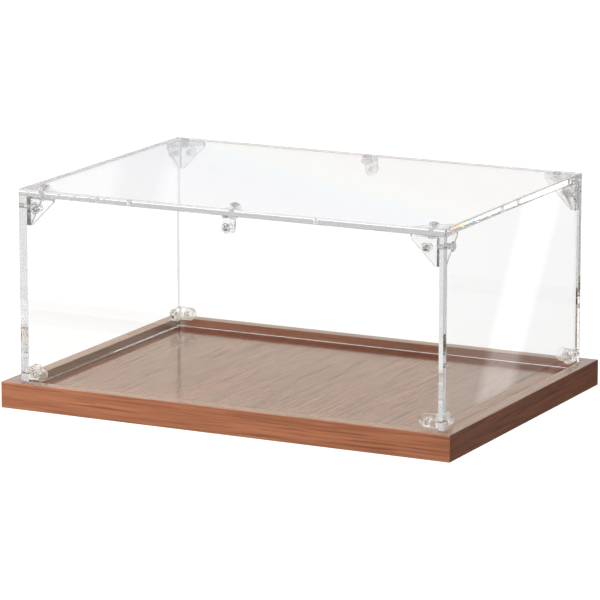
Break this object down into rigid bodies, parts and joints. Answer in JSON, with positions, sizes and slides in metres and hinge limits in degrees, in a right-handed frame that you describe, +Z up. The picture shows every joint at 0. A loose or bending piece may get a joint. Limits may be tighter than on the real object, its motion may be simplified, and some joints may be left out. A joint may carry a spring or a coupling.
{
  "type": "display case",
  "caption": "Rectangular clear acrylic display cover, joined by clear brackets and screws, standing in the recess of a shallow wooden tray and lifting straight off it.",
  "frame": {"origin": "centre of the tray's underside", "axes": "+X along the long side, -Y is the front, +Z up"},
  "size_m": [0.36, 0.262, 0.1635],
  "materials": {
    "board_wood": "satin veneer, fine grain across the tray",
    "rail_wood": "satin oiled hardwood, grain along the rail",
    "acrylic": "clear polished acrylic sheet",
    "clear_fitting": "clear moulded plastic"
  },
  "bodies": {
    "tray": {"base_board": "board_wood", "front_rail": "rail_wood", "right_rail": "rail_wood", "back_rail": "rail_wood", "left_rail": "rail_wood"},
    "cover": {"front_panel": "acrylic", "back_panel": "acrylic", "left_panel": "acrylic", "right_panel": "acrylic", "top_panel": "acrylic", "corner_bracket_front_left": "clear_fitting", "corner_bracket_front_right": "clear_fitting", "corner_bracket_back_left": "clear_fitting", "corner_bracket_back_right": "clear_fitting", "edge_bracket_front": "clear_fitting", "edge_bracket_back": "clear_fitting", "foot_bracket_front_left": "clear_fitting", "foot_bracket_front_right": "clear_fitting", "foot_bracket_back_left": "clear_fitting", "foot_bracket_back_right": "clear_fitting"},
    "top_screw_front_left": {"top_screw_front_left": "clear_fitting"},
    "front_screw_upper_left": {"front_screw_upper_left": "clear_fitting"},
    "left_screw_upper_front": {"left_screw_upper_front": "clear_fitting"},
    "front_screw_lower_left": {"front_screw_lower_left": "clear_fitting"},
    "left_screw_lower_front": {"left_screw_lower_front": "clear_fitting"},
    "top_screw_front_right": {"top_screw_front_right": "clear_fitting"},
    "front_screw_upper_right": {"front_screw_upper_right": "clear_fitting"},
    "right_screw_upper_front": {"right_screw_upper_front": "clear_fitting"},
    "front_screw_lower_right": {"front_screw_lower_right": "clear_fitting"},
    "right_screw_lower_front": {"right_screw_lower_front": "clear_fitting"},
    "top_screw_front_middle": {"top_screw_front_middle": "clear_fitting"},
    "front_screw_upper_middle": {"front_screw_upper_middle": "clear_fitting"},
    "top_screw_back_left": {"top_screw_back_left": "clear_fitting"},
    "back_screw_upper_left": {"back_screw_upper_left": "clear_fitting"},
    "left_screw_upper_back": {"left_screw_upper_back": "clear_fitting"},
    "back_screw_lower_left": {"back_screw_lower_left": "clear_fitting"},
    "left_screw_lower_back": {"left_screw_lower_back": "clear_fitting"},
    "top_screw_back_right": {"top_screw_back_right": "clear_fitting"},
    "back_screw_upper_right": {"back_screw_upper_right": "clear_fitting"},
    "right_screw_upper_back": {"right_screw_upper_back": "clear_fitting"},
    "back_screw_lower_right": {"back_screw_lower_right": "clear_fitting"},
    "right_screw_lower_back": {"right_screw_lower_back": "clear_fitting"},
    "top_screw_back_middle": {"top_screw_back_middle": "clear_fitting"},
    "back_screw_upper_middle": {"back_screw_upper_middle": "clear_fitting"}
  },
  "joints": [
    {"name": "cover_lift", "type": "slide", "parent": "tray", "child": "cover", "axis": [0, 0, 1], "range_m": [0, 0.15]},
    {"name": "top_screw_front_left_turn", "type": "hinge", "parent": "cover", "child": "top_screw_front_left", "pos_m": [-0.1555, -0.1065, 0.1615], "axis": [0, 0, 1], "continuous": true},
    {"name": "front_screw_upper_left_turn", "type": "hinge", "parent": "cover", "child": "front_screw_upper_left", "pos_m": [-0.1555, -0.1205, 0.1475], "axis": [0, -1, 0], "continuous": true},
    {"name": "left_screw_upper_front_turn", "type": "hinge", "parent": "cover", "child": "left_screw_upper_front", "pos_m": [-0.1695, -0.1065, 0.1475], "axis": [-1, 0, 0], "continuous": true},
    {"name": "front_screw_lower_left_turn", "type": "hinge", "parent": "cover", "child": "front_screw_lower_left", "pos_m": [-0.1575, -0.1205, 0.0246], "axis": [0, -1, 0], "continuous": true},
    {"name": "left_screw_lower_front_turn", "type": "hinge", "parent": "cover", "child": "left_screw_lower_front", "pos_m": [-0.1695, -0.1085, 0.0246], "axis": [-1, 0, 0], "continuous": true},
    {"name": "top_screw_front_right_turn", "type": "hinge", "parent": "cover", "child": "top_screw_front_right", "pos_m": [0.1555, -0.1065, 0.1615], "axis": [0, 0, 1], "continuous": true},
    {"name": "front_screw_upper_right_turn", "type": "hinge", "parent": "cover", "child": "front_screw_upper_right", "pos_m": [0.1555, -0.1205, 0.1475], "axis": [0, -1, 0], "continuous": true},
    {"name": "right_screw_upper_front_turn", "type": "hinge", "parent": "cover", "child": "right_screw_upper_front", "pos_m": [0.1695, -0.1065, 0.1475], "axis": [1, 0, 0], "continuous": true},
    {"name": "front_screw_lower_right_turn", "type": "hinge", "parent": "cover", "child": "front_screw_lower_right", "pos_m": [0.1575, -0.1205, 0.0246], "axis": [0, -1, 0], "continuous": true},
    {"name": "right_screw_lower_front_turn", "type": "hinge", "parent": "cover", "child": "right_screw_lower_front", "pos_m": [0.1695, -0.1085, 0.0246], "axis": [1, 0, 0], "continuous": true},
    {"name": "top_screw_front_middle_turn", "type": "hinge", "parent": "cover", "child": "top_screw_front_middle", "pos_m": [0, -0.1065, 0.1615], "axis": [0, 0, 1], "continuous": true},
    {"name": "front_screw_upper_middle_turn", "type": "hinge", "parent": "cover", "child": "front_screw_upper_middle", "pos_m": [0, -0.1205, 0.1475], "axis": [0, -1, 0], "continuous": true},
    {"name": "top_screw_back_left_turn", "type": "hinge", "parent": "cover", "child": "top_screw_back_left", "pos_m": [-0.1555, 0.1065, 0.1615], "axis": [0, 0, 1], "continuous": true},
    {"name": "back_screw_upper_left_turn", "type": "hinge", "parent": "cover", "child": "back_screw_upper_left", "pos_m": [-0.1555, 0.1205, 0.1475], "axis": [0, 1, 0], "continuous": true},
    {"name": "left_screw_upper_back_turn", "type": "hinge", "parent": "cover", "child": "left_screw_upper_back", "pos_m": [-0.1695, 0.1065, 0.1475], "axis": [-1, 0, 0], "continuous": true},
    {"name": "back_screw_lower_left_turn", "type": "hinge", "parent": "cover", "child": "back_screw_lower_left", "pos_m": [-0.1575, 0.1205, 0.0246], "axis": [0, 1, 0], "continuous": true},
    {"name": "left_screw_lower_back_turn", "type": "hinge", "parent": "cover", "child": "left_screw_lower_back", "pos_m": [-0.1695, 0.1085, 0.0246], "axis": [-1, 0, 0], "continuous": true},
    {"name": "top_screw_back_right_turn", "type": "hinge", "parent": "cover", "child": "top_screw_back_right", "pos_m": [0.1555, 0.1065, 0.1615], "axis": [0, 0, 1], "continuous": true},
    {"name": "back_screw_upper_right_turn", "type": "hinge", "parent": "cover", "child": "back_screw_upper_right", "pos_m": [0.1555, 0.1205, 0.1475], "axis": [0, 1, 0], "continuous": true},
    {"name": "right_screw_upper_back_turn", "type": "hinge", "parent": "cover", "child": "right_screw_upper_back", "pos_m": [0.1695, 0.1065, 0.1475], "axis": [1, 0, 0], "continuous": true},
    {"name": "back_screw_lower_right_turn", "type": "hinge", "parent": "cover", "child": "back_screw_lower_right", "pos_m": [0.1575, 0.1205, 0.0246], "axis": [0, 1, 0], "continuous": true},
    {"name": "right_screw_lower_back_turn", "type": "hinge", "parent": "cover", "child": "right_screw_lower_back", "pos_m": [0.1695, 0.1085, 0.0246], "axis": [1, 0, 0], "continuous": true},
    {"name": "top_screw_back_middle_turn", "type": "hinge", "parent": "cover", "child": "top_screw_back_middle", "pos_m": [0, 0.1065, 0.1615], "axis": [0, 0, 1], "continuous": true},
    {"name": "back_screw_upper_middle_turn", "type": "hinge", "parent": "cover", "child": "back_screw_upper_middle", "pos_m": [0, 0.1205, 0.1475], "axis": [0, 1, 0], "continuous": true}
  ]
}
